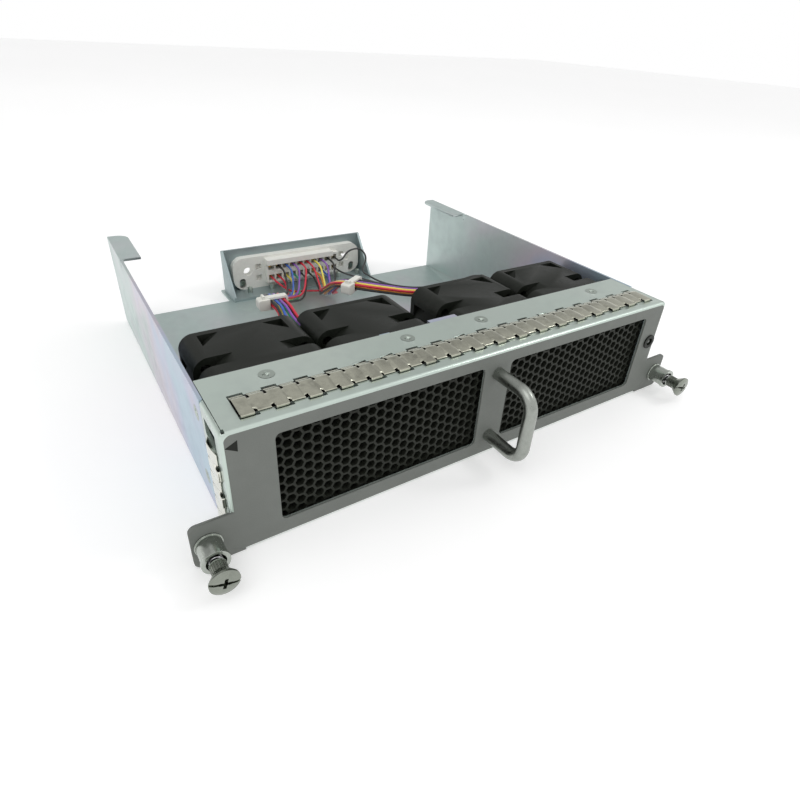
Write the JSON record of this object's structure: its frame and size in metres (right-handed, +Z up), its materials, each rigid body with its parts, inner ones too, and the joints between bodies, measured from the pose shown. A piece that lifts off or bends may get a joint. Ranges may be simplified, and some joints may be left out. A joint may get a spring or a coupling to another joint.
{
  "type": "switch fan tray",
  "caption": "Slide-in fan tray for a network switch: sheet-metal tray, honeycomb windows, square axial fans, captive thumbscrews, pull handle and blind-mate rear connector.",
  "frame": {"origin": "under the middle of the whole part in X and Y, on the plane the tray stands on", "axes": "+Z up; +Y from the front panel to the rear connector; +X to the right seen from the front"},
  "size_m": [0.201, 0.2104, 0.0432],
  "materials": {
    "zinc_sheet": "zinc plated sheet steel, faint blue and pink sheen",
    "grey_paint": "fine matte grey paint over zinc plated steel",
    "foam": "soft black foam",
    "honeycomb_foil": "dark thin foil",
    "gasket_metal": "bright nickel plated spring strip",
    "satin_aluminium": "satin",
    "screw_steel": "plated steel",
    "spring_steel": "bright drawn wire",
    "black_plastic": "charcoal moulded plastic",
    "lamp_lens": "dark clear lens",
    "ferrite": "bonded magnet",
    "ground_steel": "ground shaft steel",
    "core_steel": "stacked laminations",
    "enamelled_copper": "enamelled copper winding",
    "board": "green circuit board",
    "ivory_plastic": "off-white moulded nylon",
    "contact_brass": "gold flashed brass",
    "tie_nylon": "natural nylon",
    "black_insulation": "smooth black wire insulation",
    "blue_insulation": "smooth blue wire insulation",
    "green_insulation": "smooth green wire insulation",
    "orange_insulation": "smooth orange wire insulation",
    "purple_insulation": "smooth purple wire insulation",
    "red_insulation": "smooth red wire insulation",
    "yellow_insulation": "smooth yellow wire insulation",
    "grey_insulation": "smooth dark wire insulation"
  },
  "bodies": {
    "tray": {"tray_pan": "zinc_sheet", "front_bezel": "grey_paint", "fan_plate": "zinc_sheet", "foam_seals": "foam", "vent_frame_left": "zinc_sheet", "vent_frame_right": "zinc_sheet", "vent_honeycomb_left": "honeycomb_foil", "vent_honeycomb_right": "honeycomb_foil", "top_gasket": "gasket_metal", "side_gaskets": "gasket_metal", "pull_handle": "satin_aluminium", "handle_screws": "screw_steel", "lamp_holder": "black_plastic", "status_lamp": "lamp_lens", "countersunk_screws": "screw_steel", "fan_screws": "screw_steel", "connector_bracket": "zinc_sheet", "connector_housing": "ivory_plastic", "connector_contacts": "contact_brass", "connector_fixings": "screw_steel", "cable_ties": "tie_nylon", "lamp_leads": "grey_insulation", "fan_stators": "core_steel", "fan_coils": "enamelled_copper", "fan_bearings": "ground_steel", "fan_boards": "board", "black_leads": "black_insulation", "blue_leads": "blue_insulation", "green_leads": "green_insulation", "orange_leads": "orange_insulation", "purple_leads": "purple_insulation", "red_leads": "red_insulation", "yellow_leads": "yellow_insulation", "fan_1_frame": "black_plastic", "fan_2_frame": "black_plastic", "fan_3_frame": "black_plastic", "fan_4_frame": "black_plastic", "left_ferrule": "screw_steel", "right_ferrule": "screw_steel", "left_spring": "spring_steel", "right_spring": "spring_steel"},
    "fan_1_rotor": {"fan_1_impeller": "black_plastic", "fan_1_magnet": "ferrite", "fan_1_shaft": "ground_steel"},
    "fan_2_rotor": {"fan_2_impeller": "black_plastic", "fan_2_magnet": "ferrite", "fan_2_shaft": "ground_steel"},
    "fan_3_rotor": {"fan_3_impeller": "black_plastic", "fan_3_magnet": "ferrite", "fan_3_shaft": "ground_steel"},
    "fan_4_rotor": {"fan_4_impeller": "black_plastic", "fan_4_magnet": "ferrite", "fan_4_shaft": "ground_steel"},
    "left_screw_carrier": {"left_spring_washer": "screw_steel"},
    "left_screw": {"left_thumbscrew": "screw_steel"},
    "right_screw_carrier": {"right_spring_washer": "screw_steel"},
    "right_screw": {"right_thumbscrew": "screw_steel"}
  },
  "joints": [
    {"name": "fan_1_spin", "type": "hinge", "parent": "tray", "child": "fan_1_rotor", "pos_m": [-0.0652, -0.04283, 0.021], "axis": [0, 1, 0], "continuous": true},
    {"name": "fan_2_spin", "type": "hinge", "parent": "tray", "child": "fan_2_rotor", "pos_m": [-0.0247, -0.04283, 0.021], "axis": [0, 1, 0], "continuous": true},
    {"name": "fan_3_spin", "type": "hinge", "parent": "tray", "child": "fan_3_rotor", "pos_m": [0.0247, -0.04283, 0.021], "axis": [0, 1, 0], "continuous": true},
    {"name": "fan_4_spin", "type": "hinge", "parent": "tray", "child": "fan_4_rotor", "pos_m": [0.0652, -0.04283, 0.021], "axis": [0, 1, 0], "continuous": true},
    {"name": "left_screw_travel", "type": "slide", "parent": "tray", "child": "left_screw_carrier", "axis": [0, 1, 0], "range_m": [0, 0.0045], "stiffness_N_per_m": 300, "springref_m": -0.002, "deforming": ["left_spring"]},
    {"name": "left_screw_turn", "type": "hinge", "parent": "left_screw_carrier", "child": "left_screw", "pos_m": [-0.096, -0.09602, 0.0076], "axis": [0, 1, 0], "continuous": true},
    {"name": "right_screw_travel", "type": "slide", "parent": "tray", "child": "right_screw_carrier", "axis": [0, 1, 0], "range_m": [0, 0.0045], "stiffness_N_per_m": 300, "springref_m": -0.002, "deforming": ["right_spring"]},
    {"name": "right_screw_turn", "type": "hinge", "parent": "right_screw_carrier", "child": "right_screw", "pos_m": [0.096, -0.09602, 0.0076], "axis": [0, 1, 0], "continuous": true}
  ]
}
